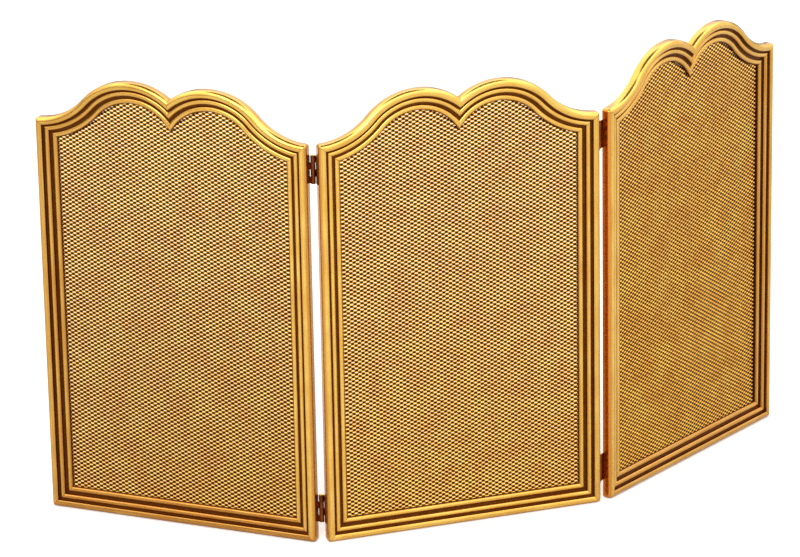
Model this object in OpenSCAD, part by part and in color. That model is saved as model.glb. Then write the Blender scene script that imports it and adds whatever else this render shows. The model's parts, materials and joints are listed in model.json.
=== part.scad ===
// Three-panel folding fireplace screen: reeded brass frames round expanded mesh, on butt hinges.
// Millimetres. +Z is up and the screen faces -Y. The origin is on the floor, under the middle of the
// centre panel's bottom rail. A panel's own axes are u across its front, v up and d back from its
// front, so that a panel's place is X = u, Y = d, Z = v before it is moved to its hinge line.

/* [Panels] */
// Width of each panel
panel_w = 388; // [350:1:400]
// Height of a panel at its shoulders
shoulder_h = 550; // [450:10:660]
// Rise of the humps above the shoulders
peak_rise = 60; // [50:0.5:62]
// Distance of each hump's top from the panel's nearest side
peak_inset = 137.5; // [136:0.5:150]
// Depth of the frame from front to back
frame_t = 14; // [14:0.1:18]
// Radius of the panels' corners
corner_r = 4.5; // [3:0.5:5.5]

/* [Moulding] */
// Radius of the outer reed
outer_reed_r = 6; // [5:0.25:6.25]
// Width of the outer reed
outer_reed_w = 9.6; // [9:0.2:10.4]
// Depth of the bottom of the outer groove
outer_groove_d = 5.4; // [5:0.1:5.8]
// Depth of the middle reed's crest
middle_reed_d = 3; // [2.4:0.1:3.4]
// Depth of the bottom of the inner groove
inner_groove_d = 8.4; // [8:0.1:8.8]
// Depth of the inner reed's crest
inner_reed_d = 5.8; // [5.4:0.1:6.2]
// Width of the whole moulding
moulding_w = 30; // [29.6:0.1:31]

/* [Mesh] */
// Depth of the seat that the mesh rests on
mesh_d = 10.1; // [9.8:0.1:10.1]
// Thickness of the expanded sheet over its raised strands
mesh_t = 2; // [1.6:0.1:2]
// Thickness of the retaining strips
strip_t = 1.2; // [1:0.1:1.2]

/* [Hinges] */
// Length of each butt hinge
hinge_l = 38; // [38:1:50]
// Height of the middle of the lower hinges
lower_hinge_v = 45; // [30:1:90]
// Height of the middle of the upper hinges
upper_hinge_v = 515; // [400:1:520]
// Distance of the hinge line from the side of each panel it joins
hinge_gap = 3.8; // [3.5:0.1:4.2]
// Distance of the hinge line behind the backs of the flat panels
hinge_back = 2; // [2:0.1:3]
// Radius of the hinge pins
pin_r = 1.6; // [1.4:0.1:1.7]

/* [Fold] */
// Angle that the left wing is folded back from flat
left_fold = 41.5; // [0:0.5:100]
// Angle that the right wing is folded back from flat
right_fold = 32.5; // [0:0.5:97]

/* [Hidden] */
$fn = 48;
cut = 1;                 // how far a cutting shape runs past what it cuts
brass = "goldenrod";
old_brass = "peru";
steel_gold = "darkgoldenrod";

// Reeds and grooves, as distances in from the outside edge of the frame
middle_reed = [12.2, 18.8];
inner_reed = [22.3, 29.4];
middle_reed_rise = 2.2;
inner_reed_rise = 2.3;

// The top edge: a hollow arc from each shoulder runs into the arc of a hump, both of one radius
peak_v = shoulder_h + peak_rise;
arc_turn = 2 * atan(peak_rise / peak_inset);
arc_r = peak_inset / (2 * sin(arc_turn));
mitre_steps = 8;
outline_steps = 10;

// The rebate behind the inner reed, and the strips that clamp the mesh in it
rebate = 22.5;
mesh_edge = rebate + 0.4;
strip_edge = rebate + 0.6;
strip_w = 6;
strip_d = mesh_d + mesh_t;
strip_mid = strip_edge + strip_w / 2;
strip_butt = 0.2;        // gap between a top strip and the side strip under it
side_strip_top = hollow_v(strip_edge, strip_edge) - 0.3;

// Screws that hold the strips
strip_screw_r = 1.15;
strip_screw_l = 5.4;
strip_screw_head_r = 2.1;
strip_screw_head_h = 0.7;
screw_play = 0.1;        // between a screw and the hole that it stands in
strip_screw_places = concat(
    [for (s = [-1, 1]) for (v = [70, 0.5 * (70 + side_strip_top - 40), side_strip_top - 40])
        [panel_w / 2 + s * (panel_w / 2 - strip_mid), v]],
    [for (k = [0.15, 0.5, 0.85]) [k * panel_w, strip_mid]],
    [for (s = [-1, 1]) for (p = [hollow_point(strip_mid, 0.62 * arc_turn), hump_point(strip_mid, 0)])
        [panel_w / 2 + s * (panel_w / 2 - p[0]), p[1]]]
);

// Butt hinges
knuckles = 4;
knuckle_r = 3.3;
knuckle_play = 0.3;      // end to end, between knuckles
pin_play = 0.05;         // all round, between a pin and its knuckles
leaf_t = 1.2;
centre_leaf_w = 9.5;     // back from its front edge to the hinge line
wing_leaf_w = 17;        // along the wing's back to the hinge line
leaf_clear = 0.6;        // between a leaf's cut-outs and the other leaf's knuckles
pin_head_r = 2.7;
pin_head_h = 1.1;
leaf_screw_r = 1.4;
leaf_screw_l = 7;
leaf_screw_head_r = 2.2;
centre_screw_places = [[-6.4, 7], [-7, 19], [-6.4, 31]];    // from the hinge line, and up the leaf
wing_screw_places = [[-8.6, 7], [-12.6, 19], [-8.6, 31]];
hinge_line_x = panel_w / 2 + hinge_gap;
hinge_line_y = frame_t / 2 + hinge_back;
hinge_heights = [lower_hinge_v - hinge_l / 2, upper_hinge_v - hinge_l / 2];

PANELS = ["centre", "left_wing", "right_wing"];
PIECES = [
    "top_rail_left", "top_rail_right", "bottom_rail", "left_stile", "right_stile", "mesh",
    "strip_top_left", "strip_top_right", "strip_bottom", "strip_left", "strip_right", "strip_screws"
];
SIDES = ["left", "right"];
HINGES = ["lower", "upper"];
HINGE_PIECES = ["centre_leaf", "wing_leaf", "pin"];

// Points of the top edge's two arcs, inset by d, at an angle from upright measured in each arc
function hollow_point(d, turn) = [(arc_r + d) * sin(turn), shoulder_h + arc_r - (arc_r + d) * cos(turn)];
function hump_point(d, turn) =
    [peak_inset + (arc_r - d) * sin(turn), peak_v - arc_r + (arc_r - d) * cos(turn)];
// Height of the hollow arc inset by d, at u
function hollow_v(d, u) = shoulder_h + arc_r - sqrt((arc_r + d) * (arc_r + d) - u * u);
// Height of the shoulder mitre at u: the curve that is as far from the side as from the top edge
function mitre_v(u) = shoulder_h + arc_r - sqrt(arc_r * arc_r + 2 * arc_r * u);
// Radius of the arc that has this width and rise
function reed_r(band, rise) = let (half = (band[1] - band[0]) / 2) (half * half + rise * rise) / (2 * rise);

// Left half of the panel's outline inset by d, from its bottom edge round to the middle of the top
function half_outline(d) =
    let (start = asin(d / (arc_r + d)), end = asin((panel_w / 2 - peak_inset) / (arc_r - d)))
    concat(
        [[d, d]],
        [for (i = [0 : outline_steps]) hollow_point(d, start + (arc_turn - start) * i / outline_steps)],
        [for (i = [1 : 2 * outline_steps])
            hump_point(d, -arc_turn + (arc_turn + end) * i / (2 * outline_steps))]
    );
function outline(d) =
    let (half = half_outline(d), n = len(half))
    concat(half, [for (i = [2 : n]) [panel_w - half[n - i][0], half[n - i][1]]]);

// The moulding, cut across: X is the distance in from the outside edge and Y the depth
module reed(band, crest, rise) {
    r = reed_r(band, rise);
    intersection() {
        translate([(band[0] + band[1]) / 2, crest + r]) circle(r);
        translate([band[0], 0]) square([band[1] - band[0], crest + r]);
    }
}
module backing(w, d) {
    translate([outer_reed_r, d]) square([w - outer_reed_r, frame_t - d]);
}
module moulding_section() {
    difference() {
        union() {
            translate([0, outer_reed_r]) square([outer_reed_w, frame_t - outer_reed_r]);
            intersection() {
                translate([outer_reed_r, outer_reed_r]) circle(outer_reed_r);
                square([outer_reed_w, frame_t]);
            }
            backing(middle_reed[1], outer_groove_d);
            reed(middle_reed, middle_reed_d, middle_reed_rise);
            backing(moulding_w, inner_groove_d);
            reed(inner_reed, inner_reed_d, inner_reed_rise);
        }
        translate([rebate, mesh_d]) square([moulding_w, frame_t]);
    }
}
module strip_section() {
    translate([strip_edge, strip_d]) square([strip_w, strip_t]);
}

// A section drawn as above, swept along the left half of the top edge past the middle. Both arcs
// start from the plane where they meet, so that their ends fit exactly.
module sweep_top() {
    past_peak = asin((panel_w / 2 - peak_inset) / (arc_r - moulding_w)) + 3;
    translate([peak_inset / 2, 0, shoulder_h + peak_rise / 2]) rotate([90, 0, 0]) rotate([0, 0, arc_turn])
        mirror([1, 0, 0]) {
            translate([0, arc_r, 0]) rotate_extrude(angle = arc_turn, start = -90)
                translate([arc_r, 0]) mirror([0, 1]) children();
            translate([0, -arc_r, 0]) rotate_extrude(angle = arc_turn + past_peak, start = 90)
                translate([arc_r, 0]) mirror([1, 0]) mirror([0, 1]) children();
        }
}
// A cut that follows points in u and v and goes right through a panel
module cut_through(points) {
    translate([0, frame_t + cut, 0]) rotate([90, 0, 0]) linear_extrude(frame_t + 2 * cut) polygon(points);
}
module beyond_middle() {
    translate([panel_w / 2, -cut, shoulder_h - 2 * moulding_w])
        cube([panel_w, frame_t + 2 * cut, peak_rise + 3 * moulding_w]);
}
// The shoulder mitre's curve, and the same curve closed off above it or below it
shoulder_mitre = [
    for (i = [0 : mitre_steps]) let (u = (moulding_w + cut) * i / mitre_steps) [u, mitre_v(u)]
];
module above_mitre() {
    cut_through(concat([[-cut, shoulder_h]], shoulder_mitre,
        [[moulding_w + cut, shoulder_h + moulding_w], [-cut, shoulder_h + moulding_w]]));
}
module below_mitre() {
    cut_through(concat([[-cut, shoulder_h]], shoulder_mitre,
        [[moulding_w + cut, shoulder_h - 2 * moulding_w], [-cut, shoulder_h - 2 * moulding_w]]));
}
// What is cut off to round the panel's left corner at height v: up is 1 at the top and -1 at the floor
module corner_cut(v, up) {
    through = frame_t + 2 * cut;
    translate([corner_r, frame_t + cut, v - up * corner_r]) rotate([90, 0, 0]) linear_extrude(through)
        mirror([0, up > 0 ? 0 : 1]) difference() {
            translate([-corner_r - cut, 0]) square([corner_r + cut, corner_r + cut]);
            circle(corner_r);
        }
}
module mirrored_panel() {
    translate([panel_w, 0, 0]) mirror([1, 0, 0]) children();
}

// Screw holes through strips, mesh and rebate, r bigger than the screw by play
module strip_screw_holes(from, to) {
    for (p = strip_screw_places)
        translate([p[0], from, p[1]]) rotate([-90, 0, 0])
            cylinder(h = to - from, r = strip_screw_r + screw_play);
}
module frame_screw_holes() {
    strip_screw_holes(strip_d + strip_t - strip_screw_l - screw_play, frame_t);
}
// Holes for a hinge's screws in a stile at u = 0: in its side for a centre leaf, and in its back
// for a wing leaf
module side_hinge_holes() {
    for (v = hinge_heights) for (p = centre_screw_places)
        translate([-cut, frame_t + hinge_back + p[0], v + p[1]]) rotate([0, 90, 0])
            cylinder(h = leaf_screw_l + cut, r = leaf_screw_r + screw_play);
}
module back_hinge_holes() {
    for (v = hinge_heights) for (p = wing_screw_places)
        translate([-p[0] - hinge_gap, frame_t + cut, v + p[1]]) rotate([90, 0, 0])
            cylinder(h = leaf_screw_l + cut, r = leaf_screw_r + screw_play);
}

// The sub-parts of a panel, in the panel's own axes
module half_top_rail() {
    difference() {
        sweep_top() moulding_section();
        below_mitre();
        beyond_middle();
        corner_cut(shoulder_h, 1);
        frame_screw_holes();
    }
}
module stile(hinge_leaf) {
    difference() {
        linear_extrude(shoulder_h) moulding_section();
        above_mitre();
        corner_cut(shoulder_h, 1);
        corner_cut(0, -1);
        cut_through([[-cut, -cut], [moulding_w + cut, -cut], [moulding_w + cut, moulding_w + cut]]);
        frame_screw_holes();
        if (hinge_leaf == "centre") side_hinge_holes();
        if (hinge_leaf == "wing") back_hinge_holes();
    }
}
module top_rail_left() { color(brass) half_top_rail(); }
module top_rail_right() { color(brass) mirrored_panel() half_top_rail(); }
module left_stile(hinge_leaf) { color(brass) stile(hinge_leaf); }
module right_stile(hinge_leaf) { color(brass) mirrored_panel() stile(hinge_leaf); }
module bottom_rail() {
    corner = moulding_w + cut;
    color(brass) difference() {
        translate([panel_w, 0, 0]) rotate([0, -90, 0]) linear_extrude(panel_w) moulding_section();
        for (k = [0, 1]) translate([k * panel_w, 0, 0]) mirror([k, 0, 0]) {
            cut_through([[-cut, -cut], [corner, corner], [-cut, corner]]);
            corner_cut(0, -1);
        }
        frame_screw_holes();
    }
}
module mesh() {
    color(old_brass) difference() {
        translate([0, strip_d, 0]) rotate([90, 0, 0]) linear_extrude(mesh_t) polygon(outline(mesh_edge));
        strip_screw_holes(mesh_d - cut, frame_t);
    }
}
module half_strip_top() {
    difference() {
        sweep_top() strip_section();
        beyond_middle();
        translate([0, 0, shoulder_h - 2 * moulding_w])
            cube([strip_edge + strip_w + strip_butt, frame_t, 2 * moulding_w + peak_rise]);
        strip_screw_holes(mesh_d, frame_t);
    }
}
module strip_top_left() { color(steel_gold) half_strip_top(); }
module strip_top_right() { color(steel_gold) mirrored_panel() half_strip_top(); }
module strip_bottom() {
    color(steel_gold) difference() {
        translate([strip_edge, strip_d, strip_edge]) cube([panel_w - 2 * strip_edge, strip_t, strip_w]);
        strip_screw_holes(mesh_d, frame_t);
    }
}
module side_strip() {
    foot = strip_edge + strip_w;
    difference() {
        translate([strip_edge, strip_d, foot]) cube([strip_w, strip_t, side_strip_top - foot]);
        strip_screw_holes(mesh_d, frame_t);
    }
}
module strip_left() { color(steel_gold) side_strip(); }
module strip_right() { color(steel_gold) mirrored_panel() side_strip(); }
module strip_screws() {
    slot = 0.5;
    seat = strip_d + strip_t;
    color("gold") for (p = strip_screw_places) translate([p[0], seat, p[1]]) rotate([-90, 0, 0])
        difference() {
            union() {
                translate([0, 0, -strip_screw_l]) cylinder(h = strip_screw_l, r = strip_screw_r);
                cylinder(h = strip_screw_head_h, r = strip_screw_head_r);
            }
            translate([-strip_screw_head_r, -slot / 2, strip_screw_head_h / 2])
                cube([2 * strip_screw_head_r, slot, strip_screw_head_h]);
        }
}

// A hinge's own axes have the hinge line as Z, the panels' backs towards +Y and the leaf's panel
// towards -X. The centre leaf is screwed to the side of its stile and the wing leaf to the back of
// its own, so that each plate is drawn flat in X and Z and turned to its face.
module leaf_face(kind) {
    if (kind == "centre") translate([-hinge_gap, 0, 0]) rotate([0, 0, 90]) children();
    if (kind == "wing") translate([0, -hinge_back, 0]) children();
}
module leaf_screw_at(p) {
    translate([p[0], 0, p[1]]) rotate([-90, 0, 0]) children();
}
// width and places are those of the plate and its screws, first is the lowest of its knuckles, from 0
module leaf(kind, width, places, first) {
    pitch = hinge_l / knuckles;
    reach = knuckle_r + leaf_clear;
    knuckle_feet = [for (i = [first : 2 : knuckles - 1]) i * pitch + knuckle_play / 2];
    away = kind == "centre" ? [0, 1, 0] : [0, 0, 0];
    color(old_brass) difference() {
        union() {
            leaf_face(kind) mirror(away) {
                translate([-width, 0, 0]) cube([width - reach, leaf_t, hinge_l]);
                for (z = knuckle_feet) translate([-reach - cut, 0, z])
                    cube([reach + cut, leaf_t, pitch - knuckle_play]);
            }
            for (z = knuckle_feet) translate([0, 0, z]) cylinder(h = pitch - knuckle_play, r = knuckle_r);
        }
        translate([0, 0, -cut]) cylinder(h = hinge_l + 2 * cut, r = pin_r + pin_play);
        leaf_face(kind) mirror(away) for (p = places) leaf_screw_at(p) {
            translate([0, 0, -cut]) cylinder(h = leaf_t + 2 * cut, r = leaf_screw_r + screw_play);
            cylinder(h = leaf_t, r1 = leaf_screw_r + screw_play, r2 = leaf_screw_head_r + screw_play);
        }
    }
}
module centre_leaf() { leaf("centre", centre_leaf_w, centre_screw_places, 1); }
module wing_leaf() { leaf("wing", wing_leaf_w, wing_screw_places, 0); }
module pin_head() {
    ball_r = (pin_head_r * pin_head_r + pin_head_h * pin_head_h) / (2 * pin_head_h);
    intersection() {
        translate([0, 0, pin_head_h - ball_r]) sphere(ball_r);
        cylinder(h = pin_head_h + cut, r = pin_head_r - 0.1);
    }
}
module pin() {
    color("gold") {
        translate([0, 0, -cut / 2]) cylinder(h = hinge_l + cut, r = pin_r);
        pin_head_out = 0.1;
        translate([0, 0, hinge_l + pin_head_out]) pin_head();
        translate([0, 0, -pin_head_out]) mirror([0, 0, 1]) pin_head();
    }
}
module leaf_screws(kind, places) {
    slot = 0.6;
    away = kind == "centre" ? [0, 1, 0] : [0, 0, 0];
    color("gold") leaf_face(kind) mirror(away) for (p = places) leaf_screw_at(p) difference() {
        union() {
            translate([0, 0, -leaf_screw_l]) cylinder(h = leaf_screw_l + leaf_t / 2, r = leaf_screw_r);
            cylinder(h = leaf_t, r1 = leaf_screw_r, r2 = leaf_screw_head_r);
        }
        translate([-leaf_screw_head_r - cut, -slot / 2, leaf_t / 2])
            cube([2 * (leaf_screw_head_r + cut), slot, leaf_t]);
    }
}
module centre_screws() { leaf_screws("centre", centre_screw_places); }
module wing_screws() { leaf_screws("wing", wing_screw_places); }

// Places: a panel, and a hinge on either side, seen from the centre panel or from the wing
module on_panel(panel) {
    if (panel == "centre") translate([-panel_w / 2, -frame_t / 2, 0]) children();
    if (panel == "left_wing") on_wing("left") children();
    if (panel == "right_wing") on_wing("right") children();
}
module on_wing(side) {
    s = side == "right" ? 1 : -1;
    fold = side == "right" ? right_fold : -left_fold;
    translate([s * hinge_line_x, hinge_line_y, 0]) rotate([0, 0, fold])
        translate([s > 0 ? hinge_gap : -hinge_gap - panel_w, -frame_t - hinge_back, 0]) children();
}
module on_centre_hinge(side) {
    s = side == "right" ? 1 : -1;
    translate([s * hinge_line_x, hinge_line_y, 0]) mirror([s > 0 ? 0 : 1, 0, 0]) children();
}
module on_wing_hinge(side) {
    s = side == "right" ? 1 : -1;
    fold = side == "right" ? right_fold : -left_fold;
    translate([s * hinge_line_x, hinge_line_y, 0]) rotate([0, 0, fold])
        mirror([s > 0 ? 1 : 0, 0, 0]) children();
}

for (p = PANELS) {
    left_leaf = p == "centre" ? "centre" : p == "right_wing" ? "wing" : "none";
    right_leaf = p == "centre" ? "centre" : p == "left_wing" ? "wing" : "none";
    on_panel(p) top_rail_left();
    on_panel(p) top_rail_right();
    on_panel(p) bottom_rail();
    on_panel(p) left_stile(left_leaf);
    on_panel(p) right_stile(right_leaf);
    on_panel(p) mesh();
    on_panel(p) strip_top_left();
    on_panel(p) strip_top_right();
    on_panel(p) strip_bottom();
    on_panel(p) strip_left();
    on_panel(p) strip_right();
    on_panel(p) strip_screws();
}
for (s = SIDES) {
    for (h = [0, 1]) translate([0, 0, hinge_heights[h]]) {
        hinge = str(s, "_", HINGES[h], "_hinge_");
        on_centre_hinge(s) centre_leaf();
        on_wing_hinge(s) wing_leaf();
        on_centre_hinge(s) pin();
    }
    for (v = hinge_heights) translate([0, 0, v]) {
        on_centre_hinge(s) centre_screws();
        on_wing_hinge(s) wing_screws();
    }
}
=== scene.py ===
import json
import math

import bmesh
import bpy
import numpy as np
from mathutils import Matrix, Vector

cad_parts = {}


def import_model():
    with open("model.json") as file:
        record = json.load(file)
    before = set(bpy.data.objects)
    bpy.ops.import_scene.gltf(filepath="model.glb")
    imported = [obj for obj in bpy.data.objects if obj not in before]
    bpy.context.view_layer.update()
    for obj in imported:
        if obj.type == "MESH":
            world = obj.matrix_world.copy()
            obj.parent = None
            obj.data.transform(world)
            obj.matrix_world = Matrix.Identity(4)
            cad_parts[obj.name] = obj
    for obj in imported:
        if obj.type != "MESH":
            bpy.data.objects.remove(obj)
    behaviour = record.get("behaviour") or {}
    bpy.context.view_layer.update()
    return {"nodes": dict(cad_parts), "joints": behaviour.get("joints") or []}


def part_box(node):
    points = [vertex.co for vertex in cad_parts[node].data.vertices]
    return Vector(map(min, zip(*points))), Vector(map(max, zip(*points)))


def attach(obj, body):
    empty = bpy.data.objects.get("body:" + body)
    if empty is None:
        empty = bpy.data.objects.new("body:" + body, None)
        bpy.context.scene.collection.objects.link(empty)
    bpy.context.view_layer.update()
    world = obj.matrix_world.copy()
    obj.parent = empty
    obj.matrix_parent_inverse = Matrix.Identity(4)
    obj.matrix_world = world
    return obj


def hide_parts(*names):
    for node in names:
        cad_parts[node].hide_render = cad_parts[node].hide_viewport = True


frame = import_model()

# A panel's own axes are in millimetres: u across its front, d back from its front, v up.
MM = 0.001
PANELS = ["centre", "left_wing", "right_wing"]
BODIES = {"centre": "centre_panel", "left_wing": "left_wing", "right_wing": "right_wing"}
SIDES = {"left": -1, "right": 1}
JOINTS = {joint["child"]: joint for joint in frame["joints"]}


# ---------------------------------------------------------------- sizes
def size_of(node):
    """Lowest and highest corner of a CAD node, in millimetres."""
    low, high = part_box(node)
    return low / MM, high / MM


rail_low, rail_high = size_of("centre_bottom_rail")
panel_w = 2 * size_of("centre_right_stile")[1].x
frame_t = rail_high.y - rail_low.y
moulding_w = rail_high.z
peak_v = size_of("centre_top_rail_left")[1].z
PEAK_RISE = 60      # from the shoulders up to the humps
CORNER_R = 4.5      # of the shoulders and the bottom corners
PEAK_INSET = 137.5  # from a panel's edge to the middle of a hump
REBATE = 22.5       # from a panel's edge to the rebate behind the inner reed
HINGE_GAP, HINGE_BACK = 3.8, 2.0    # from a wing's edge and back to its hinge line
shoulder_h = peak_v - PEAK_RISE
mesh_low, mesh_high = size_of("centre_mesh")
mesh_d = mesh_low.y + frame_t / 2
mesh_t = mesh_high.y - mesh_low.y
arc_turn = 2 * math.atan(PEAK_RISE / PEAK_INSET)
arc_r = PEAK_INSET / (2 * math.sin(arc_turn))


# ---------------------------------------------------------------- camera
CAMERA_LENS = 197.0
camera_data = bpy.data.cameras.new("camera")
camera_data.lens = CAMERA_LENS
camera = bpy.data.objects.new("camera", camera_data)
bpy.context.scene.collection.objects.link(camera)
bpy.context.scene.camera = camera
CAMERA_AT = Vector((-1.834, -5.1033, 2.2294))
CAMERA_YAW, CAMERA_PITCH, CAMERA_ROLL = 0.3301, 0.3345, -0.0185
camera.matrix_world = (
    Matrix.Translation(CAMERA_AT)
    @ Matrix.Rotation(-CAMERA_YAW, 4, "Z")
    @ Matrix.Rotation(math.pi / 2 - CAMERA_PITCH, 4, "X")
    @ Matrix.Rotation(CAMERA_ROLL, 4, "Z")
)


# ---------------------------------------------------------------- places
def panel_place(panel):
    """Matrix from a panel's own axes (u, d, v) in millimetres to the row frame in metres."""
    scale = Matrix.Scale(MM, 4)
    if panel == "centre":
        return scale @ Matrix.Translation((-panel_w / 2, -frame_t / 2, 0))
    joint = JOINTS[panel]
    side = SIDES[panel.split("_")[0]]
    fold = math.radians(-joint["range_deg"][0]) * side
    start = HINGE_GAP if side > 0 else -HINGE_GAP - panel_w
    return (
        Matrix.Translation(joint["pos_m"])
        @ Matrix.Rotation(fold, 4, "Z")
        @ scale
        @ Matrix.Translation((start, -frame_t - HINGE_BACK, 0))
    )


PLACES = {panel: panel_place(panel) for panel in PANELS}


def piece_from(name, points, faces, panel, node, material, attributes, smooth=35):
    """A mesh piece from points in a panel's own axes, riding on its body in place of a CAD node."""
    mesh = bpy.data.meshes.new(name)
    mesh.from_pydata(np.asarray(points).tolist(), [], faces)
    for key, values in attributes.items():
        values = np.asarray(values, np.float32)
        kind = "FLOAT_VECTOR" if values.ndim == 2 else "FLOAT"
        layer = mesh.attributes.new(key, kind, "POINT")
        layer.data.foreach_set("vector" if values.ndim == 2 else "value", values.ravel())
    mesh.transform(PLACES[panel])
    mesh.validate()
    mesh.shade_smooth()
    mesh.set_sharp_from_angle(angle=math.radians(smooth))
    mesh.materials.append(material)
    piece = bpy.data.objects.new(name, mesh)
    bpy.context.scene.collection.objects.link(piece)
    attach(piece, BODIES[panel])
    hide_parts(node)
    return piece


# ---------------------------------------------------------------- materials
class Nodes:
    """A node tree, with short calls to add and join nodes."""

    def __init__(self, tree):
        self.tree = tree

    def add(self, kind, inputs=None, **settings):
        node = self.tree.nodes.new("ShaderNode" + kind)
        for key, value in settings.items():
            setattr(node, key, value)
        for key, value in (inputs or {}).items():
            self.join(value, node.inputs[key])
        return node

    def join(self, value, socket):
        if isinstance(value, bpy.types.NodeSocket):
            self.tree.links.new(value, socket)
        else:
            socket.default_value = value

    def math(self, operation, a, b=0.0):
        return self.add("Math", {0: a, 1: b}, operation=operation).outputs[0]

    def remap(self, value, low, high, to_low=0.0, to_high=1.0):
        inputs = {"Value": value, "From Min": low, "From Max": high, "To Min": to_low, "To Max": to_high}
        return self.add("MapRange", inputs, clamp=True, interpolation_type="SMOOTHSTEP").outputs[0]


class MaterialNodes(Nodes):
    """A new material's node tree, with short calls for patterns, colours and bumps."""

    def __init__(self, name):
        self.material = bpy.data.materials.new(name)
        self.material.use_nodes = True
        super().__init__(self.material.node_tree)
        self.shader = self.tree.nodes["Principled BSDF"]

    def attribute(self, name, output="Fac"):
        return self.add("Attribute", attribute_name=name).outputs[output]

    def noise(self, vector, scale, detail=4.0, roughness=0.55):
        inputs = {"Vector": vector, "Scale": scale, "Detail": detail, "Roughness": roughness}
        return self.add("TexNoise", inputs).outputs["Fac"]

    def stretched(self, vector, scale):
        return self.add("Mapping", {"Vector": vector, "Scale": scale}).outputs[0]

    def mix(self, share, a, b):
        node = self.add("Mix", data_type="RGBA")
        for socket, value in zip((node.inputs[0], node.inputs[6], node.inputs[7]), (share, a, b)):
            self.join(value, socket)
        return node.outputs[2]

    def bump(self, height, distance, strength=1.0, normal=None):
        node = self.add("Bump", {"Height": height, "Distance": distance, "Strength": strength})
        if normal is not None:
            self.join(normal, node.inputs["Normal"])
        return node.outputs[0]

    def finish(self, colour, roughness, normal=None, metallic=1.0):
        self.join(colour, self.shader.inputs["Base Color"])
        self.join(roughness, self.shader.inputs["Roughness"])
        self.join(metallic, self.shader.inputs["Metallic"])
        if normal is not None:
            self.join(normal, self.shader.inputs["Normal"])
        return self.material


def moulding_brass():
    """Polished brass with streaks along the stock, painted shade in orange-brown on the flanks turned away
    from the front, a painted orange reflection on one side face, a darker brown per member that is partly
    tarnish and partly a painted dark reflection, and brown patina in the grooves.
    """
    n = MaterialNodes("moulding_brass")
    stock = n.attribute("stock", "Vector")
    place = n.add("TexCoord").outputs["Object"]
    streaks = n.noise(n.stretched(stock, (14, 900, 900)), 1.0, 5.0, 0.6)
    clouds = n.noise(place, 22.0, 3.0)
    specks = n.noise(place, 240.0, 4.0, 0.7)
    gold = n.mix(n.remap(clouds, 0.3, 0.7), GOLD, OLD_GOLD)
    gold = n.mix(n.remap(streaks, 0.5, 0.85, 0.0, 0.45), gold, TARNISH_AND_SHADE_BROWN)
    # Painted shade: orange-brown on the flanks, stronger as they turn away from the front
    flank_shade = n.math("ADD", n.attribute("flank_shade"), n.math("MULTIPLY", n.math("SUBTRACT", streaks, 0.5), 0.5))
    gold = n.mix(n.remap(flank_shade, -0.05, 0.3, 0.0, 0.8), gold, TARNISH_AND_SHADE_BROWN)
    # Painted reflection: orange on the side face of one moulding
    gold = n.mix(n.remap(flank_shade, 1.1, 1.6), gold, SIDE_REFLECTION_ORANGE)
    # Darker brown per member: partly tarnish, partly a painted dark reflection
    gold = n.mix(n.math("MULTIPLY", n.attribute("tarnish_and_dark_reflection"), n.remap(streaks, 0.25, 0.6, 0.4, 1.0)), gold, TARNISH_AND_REFLECTION_BROWN)
    groove = n.attribute("groove")
    ragged = n.math("ADD", groove, n.math("MULTIPLY", n.math("SUBTRACT", streaks, 0.5), 0.45))
    ragged = n.math("ADD", ragged, n.math("MULTIPLY", n.math("SUBTRACT", specks, 0.5), 0.25))
    seam = n.math("MULTIPLY", n.attribute("seam"), n.remap(specks, 0.3, 0.7))
    dirt = n.math("MAXIMUM", n.remap(ragged, 0.2, 1.05), n.math("MULTIPLY", seam, 0.5))
    colour = n.mix(dirt, gold, GROOVE_BROWN)
    roughness = n.math("ADD", n.remap(specks, 0.3, 0.7, 0.2, 0.3), n.math("MULTIPLY", dirt, 0.25))
    fine = n.bump(streaks, 0.00006)
    normal = n.bump(n.noise(place, 60.0, 2.0), 0.0004, 0.5, fine)
    n.join(n.remap(dirt, 0.0, 0.5, 0.3, 0.0), n.shader.inputs["Coat Weight"])
    n.shader.inputs["Coat Roughness"].default_value = 0.12
    return n.finish(colour, roughness, normal)


def mesh_brass():
    """Thin brass sheet, slit and stretched: gold on the strands, and dark brown painted shade at the bonds
    where they join.
    """
    n = MaterialNodes("mesh_brass")
    place = n.add("TexCoord").outputs["Object"]
    clouds = n.noise(place, 30.0, 3.0)
    specks = n.noise(place, 500.0, 3.0, 0.7)
    sheet = n.add("SeparateXYZ", {"Vector": n.attribute("sheet", "Vector")})
    across = n.math("COSINE", n.math("MULTIPLY", sheet.outputs["X"], 2 * math.pi))
    up = n.math("COSINE", n.math("MULTIPLY", sheet.outputs["Y"], 2 * math.pi))
    # Painted shade: darkest at the bonds
    bond = n.math("ADD", n.math("MULTIPLY", across, up), n.math("SUBTRACT", specks, 0.5))
    gold = n.mix(n.remap(clouds, 0.3, 0.7), MESH_GOLD, MESH_OLD_GOLD)
    colour = n.mix(n.remap(bond, *BOND_BAND), gold, BOND_SHADE_BROWN)
    return n.finish(colour, n.remap(specks, 0.3, 0.7, 0.28, 0.4), n.bump(specks, 0.0001, 0.6))


def worn_brass(name, bright, dull, dark, roughness):
    """Plain brass ware: cloudy, scuffed, and darker in blotches."""
    n = MaterialNodes(name)
    place = n.add("TexCoord").outputs["Object"]
    clouds = n.noise(place, 60.0, 4.0)
    blotches = n.noise(place, 190.0, 5.0, 0.7)
    scuffs = n.noise(n.stretched(place, (900, 900, 60)), 1.0, 3.0)
    colour = n.mix(n.remap(clouds, 0.3, 0.7), bright, dull)
    colour = n.mix(n.remap(blotches, 0.5, 0.8, 0.0, 0.8), colour, dark)
    rough = n.math("ADD", n.remap(scuffs, 0.3, 0.7, 0.0, 0.12), roughness)
    return n.finish(colour, rough, n.bump(scuffs, 0.00005, 0.8))


GOLD, OLD_GOLD = (0.86, 0.57, 0.12, 1), (0.77, 0.45, 0.075, 1)
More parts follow.
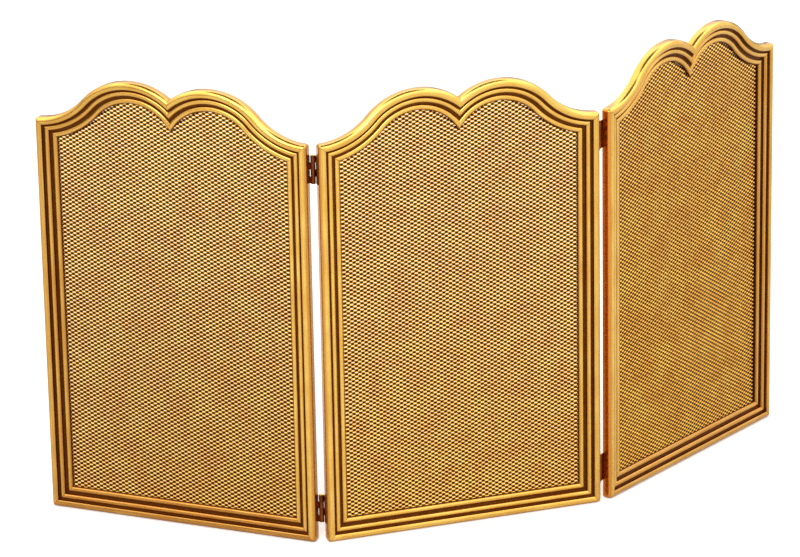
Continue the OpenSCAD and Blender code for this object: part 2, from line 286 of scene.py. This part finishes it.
# Brown of tarnish streaks, also used as painted shade on the flanks; and a darker brown, partly tarnish and
# partly a painted dark reflection
TARNISH_AND_SHADE_BROWN, TARNISH_AND_REFLECTION_BROWN = (0.50, 0.20, 0.025, 1), (0.36, 0.13, 0.016, 1)
# Painted orange reflection on one side face
SIDE_REFLECTION_ORANGE = (0.68, 0.23, 0.025, 1)
GROOVE_BROWN = (0.10, 0.028, 0.004, 1)
MESH_GOLD, MESH_OLD_GOLD = (1.0, 0.57, 0.075, 1), (0.9, 0.42, 0.045, 1)
# Painted shade at the mesh's bonds
BOND_SHADE_BROWN = (0.045, 0.008, 0.001, 1)
BOND_BAND = (-0.4, 0.25)    # of the bond pattern, over which gold turns to the painted shade's brown
# Bright, dull and dark colours of each kind of plain ware
STRIP_COLOURS = (0.62, 0.40, 0.12, 1), (0.50, 0.29, 0.07, 1), (0.16, 0.06, 0.015, 1)
# The hinges' colours are darkened far below brass as painted shade, for the shadow in the gaps between
# panels
SHADED_HINGE_COLOURS = (0.24, 0.065, 0.016, 1), (0.13, 0.035, 0.01, 1), (0.03, 0.008, 0.003, 1)
SCREW_COLOURS = (0.80, 0.52, 0.13, 1), (0.66, 0.38, 0.08, 1), (0.25, 0.10, 0.02, 1)
MATERIALS = {
    "moulding": moulding_brass(),
    "mesh": mesh_brass(),
    "strip": worn_brass("strip_brass", *STRIP_COLOURS, 0.35),
    "hinge": worn_brass("hinge_brass", *SHADED_HINGE_COLOURS, 0.32),
    "screw": worn_brass("screw_brass", *SCREW_COLOURS, 0.25),
}


# ---------------------------------------------------------------- mouldings
def reed(band, crest, rise, steps=14):
    """Points over one reed: an arc with this crest depth and rise, across the band."""
    half = (band[1] - band[0]) / 2
    radius = (half * half + rise * rise) / (2 * rise)
    reach = math.asin(half / radius)
    turns = np.linspace(-reach, reach, steps)
    middle = (band[0] + band[1]) / 2
    return [(middle + radius * math.sin(t), crest + radius * (1 - math.cos(t))) for t in turns]


def soften(points, reach=0.4, steps=4, least_turn=22, most=0.45):
    """Rounds a closed outline's corners, and leaves the points along its arcs as they are.

    A point's third value is its own reach, and no corner takes more than this share of a side.
    """
    made = []
    for i, here in enumerate(points):
        here = np.array(here[:2])
        back = np.array(points[i - 1][:2]) - here
        ahead = np.array(points[(i + 1) % len(points)][:2]) - here
        cosine = -(back @ ahead) / (np.linalg.norm(back) * np.linalg.norm(ahead))
        if math.degrees(math.acos(max(-1, min(1, cosine)))) < least_turn:
            made.append(here)
            continue
        own = points[i][2] if len(points[i]) > 2 else reach
        start = here + back * min(own / np.linalg.norm(back), most)
        end = here + ahead * min(own / np.linalg.norm(ahead), most)
        for t in np.linspace(0, 1, steps + 1):
            made.append((1 - t) ** 2 * start + 2 * t * (1 - t) * here + t * t * end)
    return np.array(made)


OUTER_REED_R, OUTER_REED_W, OUTER_REED_STEPS = 6.0, 9.6, 18
MIDDLE_REED, INNER_REED = (12.2, 18.8), (22.3, 29.4)    # from the panel's edge
MIDDLE_REED_D, INNER_REED_D = 3.0, 5.8                  # depth of each crest behind the front
MIDDLE_REED_RISE, INNER_REED_RISE = 2.2, 2.3            # how far each crest stands above its sides
OUTER_GROOVE_D, INNER_GROOVE_D = 5.4, 8.4               # depth of each groove behind the front
GROOVE_ROUND, REED_ROUND = 0.9, 0.35    # how far corners are rounded, in grooves and beside reeds
# Each groove from w to w, and the depths at which its patina starts and is full
GROOVES = [
    (7.5, 14.5, 3.0, OUTER_GROOVE_D), (14.5, 25.0, 5.6, INNER_GROOVE_D), (27.0, 99.0, 7.0, INNER_GROOVE_D),
]
BACK_EDGE, BACK_PATINA = 3.0, 0.2   # how much of the depth counts as the back, and its groove share
SIDE_W = 0.6                        # points nearer to the panel's edge than this are on its side
# The moulding whose side face gets the painted orange reflection
PAINTED_REFLECTION_SIDE = "right_wing_left_stile_moulding"
TOP_EDGE_SHADE_SHARE = 0.2                # of the flanks' painted shade, left on the top rails' outer edge
MOST_BEHIND = 0.6                   # most painted shade on the flanks behind the mesh's front


def moulding_section():
    """The moulding's outline, in distance from the panel's edge and depth."""
    last_turn = math.asin((OUTER_REED_W - OUTER_REED_R) / OUTER_REED_R)
    turns = np.linspace(-math.pi / 2, last_turn, OUTER_REED_STEPS)
    points = [(OUTER_REED_R * (1 + math.sin(t)), OUTER_REED_R * (1 - math.cos(t))) for t in turns]
    points += [(OUTER_REED_W, OUTER_GROOVE_D, GROOVE_ROUND), (MIDDLE_REED[0], OUTER_GROOVE_D, REED_ROUND)]
    points += reed(MIDDLE_REED, MIDDLE_REED_D, MIDDLE_REED_RISE)
    points += [(MIDDLE_REED[1], INNER_GROOVE_D, GROOVE_ROUND), (INNER_REED[0], INNER_GROOVE_D, REED_ROUND)]
    points += reed(INNER_REED, INNER_REED_D, INNER_REED_RISE)
    points += [(INNER_REED[1], INNER_GROOVE_D, 0.25), (moulding_w, INNER_GROOVE_D, 0.3)]
    points += [(moulding_w, mesh_d, 0.2), (REBATE, mesh_d), (REBATE, frame_t), (0, frame_t, 0.8)]
    return soften(points)


SECTION = moulding_section()


def smoothstep(low, high, values):
    """0 up to low, 1 from high, and a smooth step between."""
    t = np.clip((values - low) / (high - low), 0, 1)
    return t * t * (3 - 2 * t)


def groove_share(section):
    """How deep each point of the section lies in a groove or corner, from 0 to 1."""
    w, d = section[:, 0], section[:, 1]
    share = np.zeros(len(section))
    for start, end, clean_d, full_d in GROOVES:
        share = np.where((w >= start) & (w < end), smoothstep(clean_d, full_d, d), share)
    return np.where(d > frame_t - BACK_EDGE, BACK_PATINA, share)


def turned_shade_share(section, name):
    """Painted shade share: how far points are turned away from the front, from 0 to 1, and 2 on the side
    with the painted orange reflection.
    """
    turned = np.clip(1 + outward(section)[:, 1], 0, 1)
    if "top" in name:
        turned = np.where(section[:, 0] < OUTER_REED_R, TOP_EDGE_SHADE_SHARE * turned, turned)
    turned = np.where(section[:, 1] > mesh_d, np.minimum(turned, MOST_BEHIND), turned)
    return np.where((section[:, 0] < SIDE_W) & (name == PAINTED_REFLECTION_SIDE), 2.0, turned)


def unit(rows):
    """Each row as a vector of length one."""
    return rows / np.linalg.norm(rows, axis=1)[:, None]


def outward(section):
    """Each point's direction away from the section's body."""
    ahead = np.roll(section, -1, 0) - section
    behind = section - np.roll(section, 1, 0)
    along = unit(unit(ahead) + unit(behind))
    following = np.roll(section, -1, 0)
    area = np.sum(section[:, 0] * following[:, 1] - following[:, 0] * section[:, 1])
    return np.stack([along[:, 1], -along[:, 0]], 1) * (1 if area > 0 else -1)


HOLLOW_SHARE = 0.3      # of the rings of a top rail, in its hollow arc
CHAMFER = 0.12          # where two members meet
END_RINGS = [0.8, 1.6, 2.4, 3.2, 4.0, 4.8]      # distances of the close rings from an end
SEAM_REACH = (0.1, 1.2)     # distances from an end over which a seam's dirt fades
LEAST_R = 0.001         # in place of a round corner inside its own centre


def rounded(w, along):
    """Where a point inset by w comes round a corner, from its distance along an edge to the corner."""
    radius = np.maximum(CORNER_R - w, LEAST_R)
    turn = math.pi / 4 * np.clip((CORNER_R - along) / radius, 0, 1)
    bends = (w < CORNER_R) & (along < CORNER_R)
    return (
        np.where(bends, CORNER_R - radius * np.sin(turn), along),
        np.where(bends, CORNER_R - radius * np.cos(turn), w),
    )


def mitre_v(u):
    """Height of the mitre between a stile and the top rail."""
    return shoulder_h + arc_r - np.sqrt(arc_r * arc_r + 2 * arc_r * u)


def stile_path(w, t):
    """The left edge, inset by w, from the bottom mitre up to the top one."""
    top = mitre_v(w)
    v = w + (top - w) * t
    low, u = rounded(w, v)
    if t < 0.5:
        return u, low
    high, u = rounded(w, w + top - v)
    return u, np.where(w < CORNER_R, shoulder_h - high, v)


def bottom_path(w, t):
    """The bottom edge, inset by w, from left to right."""
    u = w + (panel_w - 2 * w) * min(t, 1 - t)
    u, v = rounded(w, u)
    return (panel_w - u if t > 0.5 else u), v


def top_path(w, t):
    """The left half of the top edge, inset by w: first the hollow arc, then the hump's."""
    start = np.arcsin(w / (arc_r + w))
    end = np.arcsin((panel_w / 2 - PEAK_INSET) / (arc_r - w))
    if t <= HOLLOW_SHARE:
        turn = start + (arc_turn - start) * t / HOLLOW_SHARE
        u, v = (arc_r + w) * np.sin(turn), shoulder_h + arc_r - (arc_r + w) * np.cos(turn)
        along, inset = rounded(w, u)
        return along, v + w - inset
    turn = -arc_turn + (arc_turn + end) * (t - HOLLOW_SHARE) / (1 - HOLLOW_SHARE)
    return PEAK_INSET + (arc_r - w) * np.sin(turn), peak_v - arc_r + (arc_r - w) * np.cos(turn)


def ring_places(count, length):
    """Shares of a member's length, closer together at its two ends."""
    near = np.array([0, CHAMFER, *END_RINGS]) / length
    inner = np.linspace(near[-1], 1 - near[-1], count)[1:-1]
    return np.concatenate([near, inner, 1 - near[::-1]])


def sweep(panel, node, path, length, count, mirrored):
    """A member: the section carried along a path, chamfered where it meets the next one."""
    name = node + "_moulding"
    n = len(SECTION)
    chamfered = SECTION - outward(SECTION) * CHAMFER
    perimeter = np.concatenate([[0], np.cumsum(np.linalg.norm(np.diff(SECTION, axis=0), axis=1))])
    places = ring_places(count, length)
    points, stock, seam = [], [], []
    for k, t in enumerate(places):
        outline = chamfered if k in (0, len(places) - 1) else SECTION
        u, v = path(outline[:, 0], t)
        u = panel_w - u if mirrored else u
        points.append(np.stack([u + 0 * v, outline[:, 1], v + 0 * u], 1))
        stock.append(np.stack([np.full(n, t * length), perimeter, 0 * perimeter], 1) * MM)
        seam.append(np.full(n, 1 - smoothstep(*SEAM_REACH, min(t, 1 - t) * length)))
    rings = len(places)
    faces = []
    for k in range(rings - 1):
        for i in range(n):
            j = (i + 1) % n
            faces.append((k * n + i, k * n + j, (k + 1) * n + j, (k + 1) * n + i))
    faces.append(tuple(range(n - 1, -1, -1)))
    faces.append(tuple(range((rings - 1) * n, rings * n)))
    attributes = {
        "stock": np.concatenate(stock), "seam": np.concatenate(seam),
        "groove": np.tile(groove_share(SECTION), rings), "flank_shade": np.tile(turned_shade_share(SECTION, name), rings),
        "tarnish_and_dark_reflection": np.full(n * rings, TARNISH_AND_DARK_REFLECTION[node]),
    }
    material = MATERIALS["moulding"]
    piece = piece_from(name, np.concatenate(points), faces, panel, node, material, attributes)
    turned = bmesh.new()
    turned.from_mesh(piece.data)
    bmesh.ops.recalc_face_normals(turned, faces=turned.faces)
    turned.to_mesh(piece.data)
    turned.free()


# How far each member is darkened towards brown, from 0 to 1: partly tarnish, and on the left wing's bottom
# rail a painted dark reflection
TARNISH_AND_DARK_REFLECTION = {
    "left_wing_left_stile": 0.6, "left_wing_bottom_rail": 0.85, "left_wing_top_rail_left": 0.5,
    "left_wing_top_rail_right": 0.25, "left_wing_right_stile": 0.15, "centre_left_stile": 0.05,
    "centre_bottom_rail": 0.05, "centre_right_stile": 0.2, "centre_top_rail_left": 0.15,
    "centre_top_rail_right": 0.15, "right_wing_right_stile": 0.5, "right_wing_bottom_rail": 0.6,
    "right_wing_top_rail_left": 0.3, "right_wing_top_rail_right": 0.3, "right_wing_left_stile": 0.1,
}


def frame_members(panel):
    """The five mouldings of a panel, each with the number of rings between its ends' close ones."""
    top_l = arc_r * (2 * arc_turn + math.asin((panel_w / 2 - PEAK_INSET) / arc_r))
    for name, path, length, count, mirrored in [
        ("left_stile", stile_path, shoulder_h, 44, False),
        ("right_stile", stile_path, shoulder_h, 44, True),
        ("bottom_rail", bottom_path, panel_w, 32, False),
        ("top_rail_left", top_path, top_l, 72, False),
        ("top_rail_right", top_path, top_l, 72, True),
    ]:
        sweep(panel, f"{panel}_{name}", path, length, count, mirrored)


# ---------------------------------------------------------------- expanded mesh
LONG_WAY, SHORT_WAY = 9.46, 5.75   # pitch of the openings across and up the sheet
BOND_L = 2.3                       # length of a bond, across
BOND_HALF = 2.25                   # half the height of a bond, as seen from the front
SHEET_T = 0.6                      # thickness of the sheet
MESH_RIM = 23.9                    # how far in from the panel's edge the outermost bonds are
AROUND = 6                         # points around a bond on the front, and as many on the back


def top_limit(u, inset):
    """Height of the top edge inset by this much, at u from the left or from the right."""
    u = np.minimum(u, panel_w - u)
    meet = (arc_r + inset) * math.sin(arc_turn)
    hollow = shoulder_h + arc_r - np.sqrt(np.maximum((arc_r + inset) ** 2 - u**2, 0))
    hump = peak_v - arc_r + np.sqrt(np.maximum((arc_r - inset) ** 2 - (u - PEAK_INSET) ** 2, 0))
    return np.where(u < meet, hollow, hump)


def lattice():
    """Points, faces and pattern coordinates of the expanded sheet, in a panel's own axes."""
    columns = int(panel_w / LONG_WAY * 2) + 2
    rows = int(peak_v / SHORT_WAY * 2) + 2
    i, j = np.meshgrid(np.arange(columns), np.arange(rows), indexing="ij")
    even = (i + j) % 2 == 0
    u = panel_w / 2 + (i - columns // 2) * LONG_WAY / 2
    v = MESH_RIM + j * SHORT_WAY / 2
    inside = (u > MESH_RIM) & (u < panel_w - MESH_RIM) & (v < top_limit(u, MESH_RIM)) & even
    index = np.full(inside.shape, -1)       # each bond's number, or -1
    index[inside] = np.arange(inside.sum())
    u, v = u[inside], v[inside]
    count = len(u)
    depth_swing = mesh_t - SHEET_T
    # Around a bond: top left, middle left, bottom left, bottom right, middle right, top right
    across = np.array([-1, -1, -1, 1, 1, 1]) * BOND_L / 2
    up = np.array([1, 0, -1, -1, 0, 1])
    back = (up + 1) / 2 * depth_swing
    points = np.zeros((count, 2 * AROUND, 3))
    for side in (0, 1):
        part = slice(AROUND * side, AROUND * (side + 1))
        points[:, part, 0] = u[:, None] + across
        points[:, part, 1] = mesh_d + back + side * SHEET_T
        points[:, part, 2] = v[:, None] + up * BOND_HALF
    TL, ML, BL, BR, MR, TR = range(AROUND)
    faces = []

    def plate(*corners):
        """A face on the front, and its twin on the back."""
        faces.append(corners)
        faces.append(tuple(corner + AROUND for corner in reversed(corners)))

    def wall(a, b):
        """The face between front and back along one edge, from point a to point b."""
        faces.append((b, a, a + AROUND, b + AROUND))

    def neighbour(a, b):
        return index[a, b] if 0 <= a < columns and 0 <= b < rows else -1

    for a, b in np.argwhere(inside):
        o = 2 * AROUND * index[a, b]
        plate(o + TL, o + ML, o + MR, o + TR)
        plate(o + ML, o + BL, o + BR, o + MR)
        wall(o + TR, o + TL)
        wall(o + BL, o + BR)
        up_right, down_right = neighbour(a + 1, b + 1), neighbour(a + 1, b - 1)
        if up_right >= 0:
            q = 2 * AROUND * up_right
            plate(o + MR, q + BL, q + ML, o + TR)
            wall(o + MR, q + BL)
            wall(q + ML, o + TR)
        else:
            wall(o + MR, o + TR)
        if down_right >= 0:
            q = 2 * AROUND * down_right
            plate(o + BR, q + ML, q + TL, o + MR)
            wall(o + BR, q + ML)
            wall(q + TL, o + MR)
        else:
            wall(o + BR, o + MR)
        if neighbour(a - 1, b + 1) < 0:
            wall(o + TL, o + ML)
        if neighbour(a - 1, b - 1) < 0:
            wall(o + ML, o + BL)
    points = points.reshape(-1, 3)
    sheet = (points - (panel_w / 2, 0, MESH_RIM))[:, [0, 2, 1]] / (LONG_WAY, SHORT_WAY, 1)
    sheet += (columns // 2 / 2, 0, 0)
    return points, [tuple(int(x) for x in f) for f in faces], sheet


LATTICE = lattice()


def mesh_sheet(panel):
    """A panel's expanded sheet, in place of the CAD's plain one."""
    points, faces, sheet = LATTICE
    node = panel + "_mesh"
    piece_from(
        node + "_expanded", points, faces, panel, node, MATERIALS["mesh"],
        {"sheet": sheet}, smooth=20,
    )


for panel in PANELS:
    frame_members(panel)
    mesh_sheet(panel)


# ---------------------------------------------------------------- strips, screws and hinges
SHARP_FROM = 40     # degrees between two faces


def dress(node, material, edge):
    """A CAD node in its own finish, with its sharp edges broken where it has any."""
    piece = frame["nodes"][node]
    piece.data.materials.clear()
    piece.data.materials.append(material)
    if not edge:
        return
    bevel = piece.modifiers.new("broken_edges", "BEVEL")
    bevel.width = edge * MM
    bevel.segments = 2
    bevel.limit_method = "ANGLE"
    bevel.angle_limit = math.radians(SHARP_FROM)


for name in frame["nodes"]:
    if name.endswith("_pin"):
        dress(name, MATERIALS["screw"], 0)
    elif "screws" in name:
        dress(name, MATERIALS["screw"], 0.1)
    elif "_strip_" in name:
        dress(name, MATERIALS["strip"], 0.2)
    elif "_hinge_" in name:
        dress(name, MATERIALS["hinge"], 0.15)


# ---------------------------------------------------------------- studio
FLOOR_SIZE, FLOOR_COLOUR, FLOOR_GLOW = 60, (0.86, 0.86, 0.86, 1), 0.3
SURROUND = 1.15                             # strength of the light all round
BRIGHT_FRONT = (0.77, -0.64, 0)             # where the low part stays bright in reflections
LOW_HEIGHTS, LOW_FRONTS, LOW_SHARE = (0.10, 0.24), (0.3, 0.75), 0.15
HIGH_HEIGHTS, HIGH_STRENGTHS = (0.45, 0.72), (1.5, 3.4)
OVERHEAD_HEIGHTS, OVERHEAD_SHARE = (0.84, 0.93), 0.05


def floor():
    """A plain pale floor, with a little light of its own that only the camera sees."""
    bpy.ops.mesh.primitive_plane_add(size=FLOOR_SIZE)
    plane = bpy.context.object
    plane.name = "floor"
    n = MaterialNodes("pale_floor")
    n.finish(FLOOR_COLOUR, 0.8, metallic=0.0)
    n.shader.inputs["Emission Color"].default_value = (1, 1, 1, 1)
    seen = n.add("LightPath").outputs["Is Camera Ray"]
    n.join(n.math("MULTIPLY", seen, FLOOR_GLOW), n.shader.inputs["Emission Strength"])
    plane.data.materials.append(n.material)


def world():
    """A bright surround. Reflections of it are darker overhead, and low down away from the front."""
    made = bpy.data.worlds.new("studio")
    made.use_nodes = True
    bpy.context.scene.world = made
    n = Nodes(made.node_tree)
    background = n.tree.nodes["Background"]
    way = n.add("TexCoord").outputs["Generated"]
    height = n.add("SeparateXYZ", {"Vector": way}).outputs["Z"]
    front = n.add("VectorMath", {0: way, 1: BRIGHT_FRONT}, operation="DOT_PRODUCT").outputs["Value"]
    low = n.math("MULTIPLY", n.remap(height, *LOW_HEIGHTS, 1, 0), n.remap(front, *LOW_FRONTS, 1, 0))
    mirrored = n.remap(low, 0, 1, 1, LOW_SHARE)
    mirrored = n.math("MULTIPLY", mirrored, n.remap(height, *HIGH_HEIGHTS, *HIGH_STRENGTHS))
    mirrored = n.math("MULTIPLY", mirrored, n.remap(height, *OVERHEAD_HEIGHTS, 1, OVERHEAD_SHARE))
    glossy = n.add("LightPath").outputs["Is Glossy Ray"]
    strength = n.add("Mix", {0: glossy, 2: SURROUND, 3: mirrored}).outputs[0]
    n.join(strength, background.inputs["Strength"])
    background.inputs["Color"].default_value = (1, 1, 1, 1)


def softbox(name, at, target, size, power):
    """A rectangular area light at one point, turned to another."""
    data = bpy.data.lights.new(name, "AREA")
    data.shape = "RECTANGLE"
    data.size, data.size_y = size
    data.energy = power
    light = bpy.data.objects.new(name, data)
    bpy.context.scene.collection.objects.link(light)
    light.location = at
    light.rotation_mode = "QUATERNION"
    light.rotation_quaternion = (Vector(target) - Vector(at)).to_track_quat("-Z", "Y")


floor()
world()
softbox("key", (-2.2, -2.6, 2.8), (0, 0, 0.3), (2.0, 1.4), 60)
bpy.context.scene.view_settings.view_transform = "Standard"
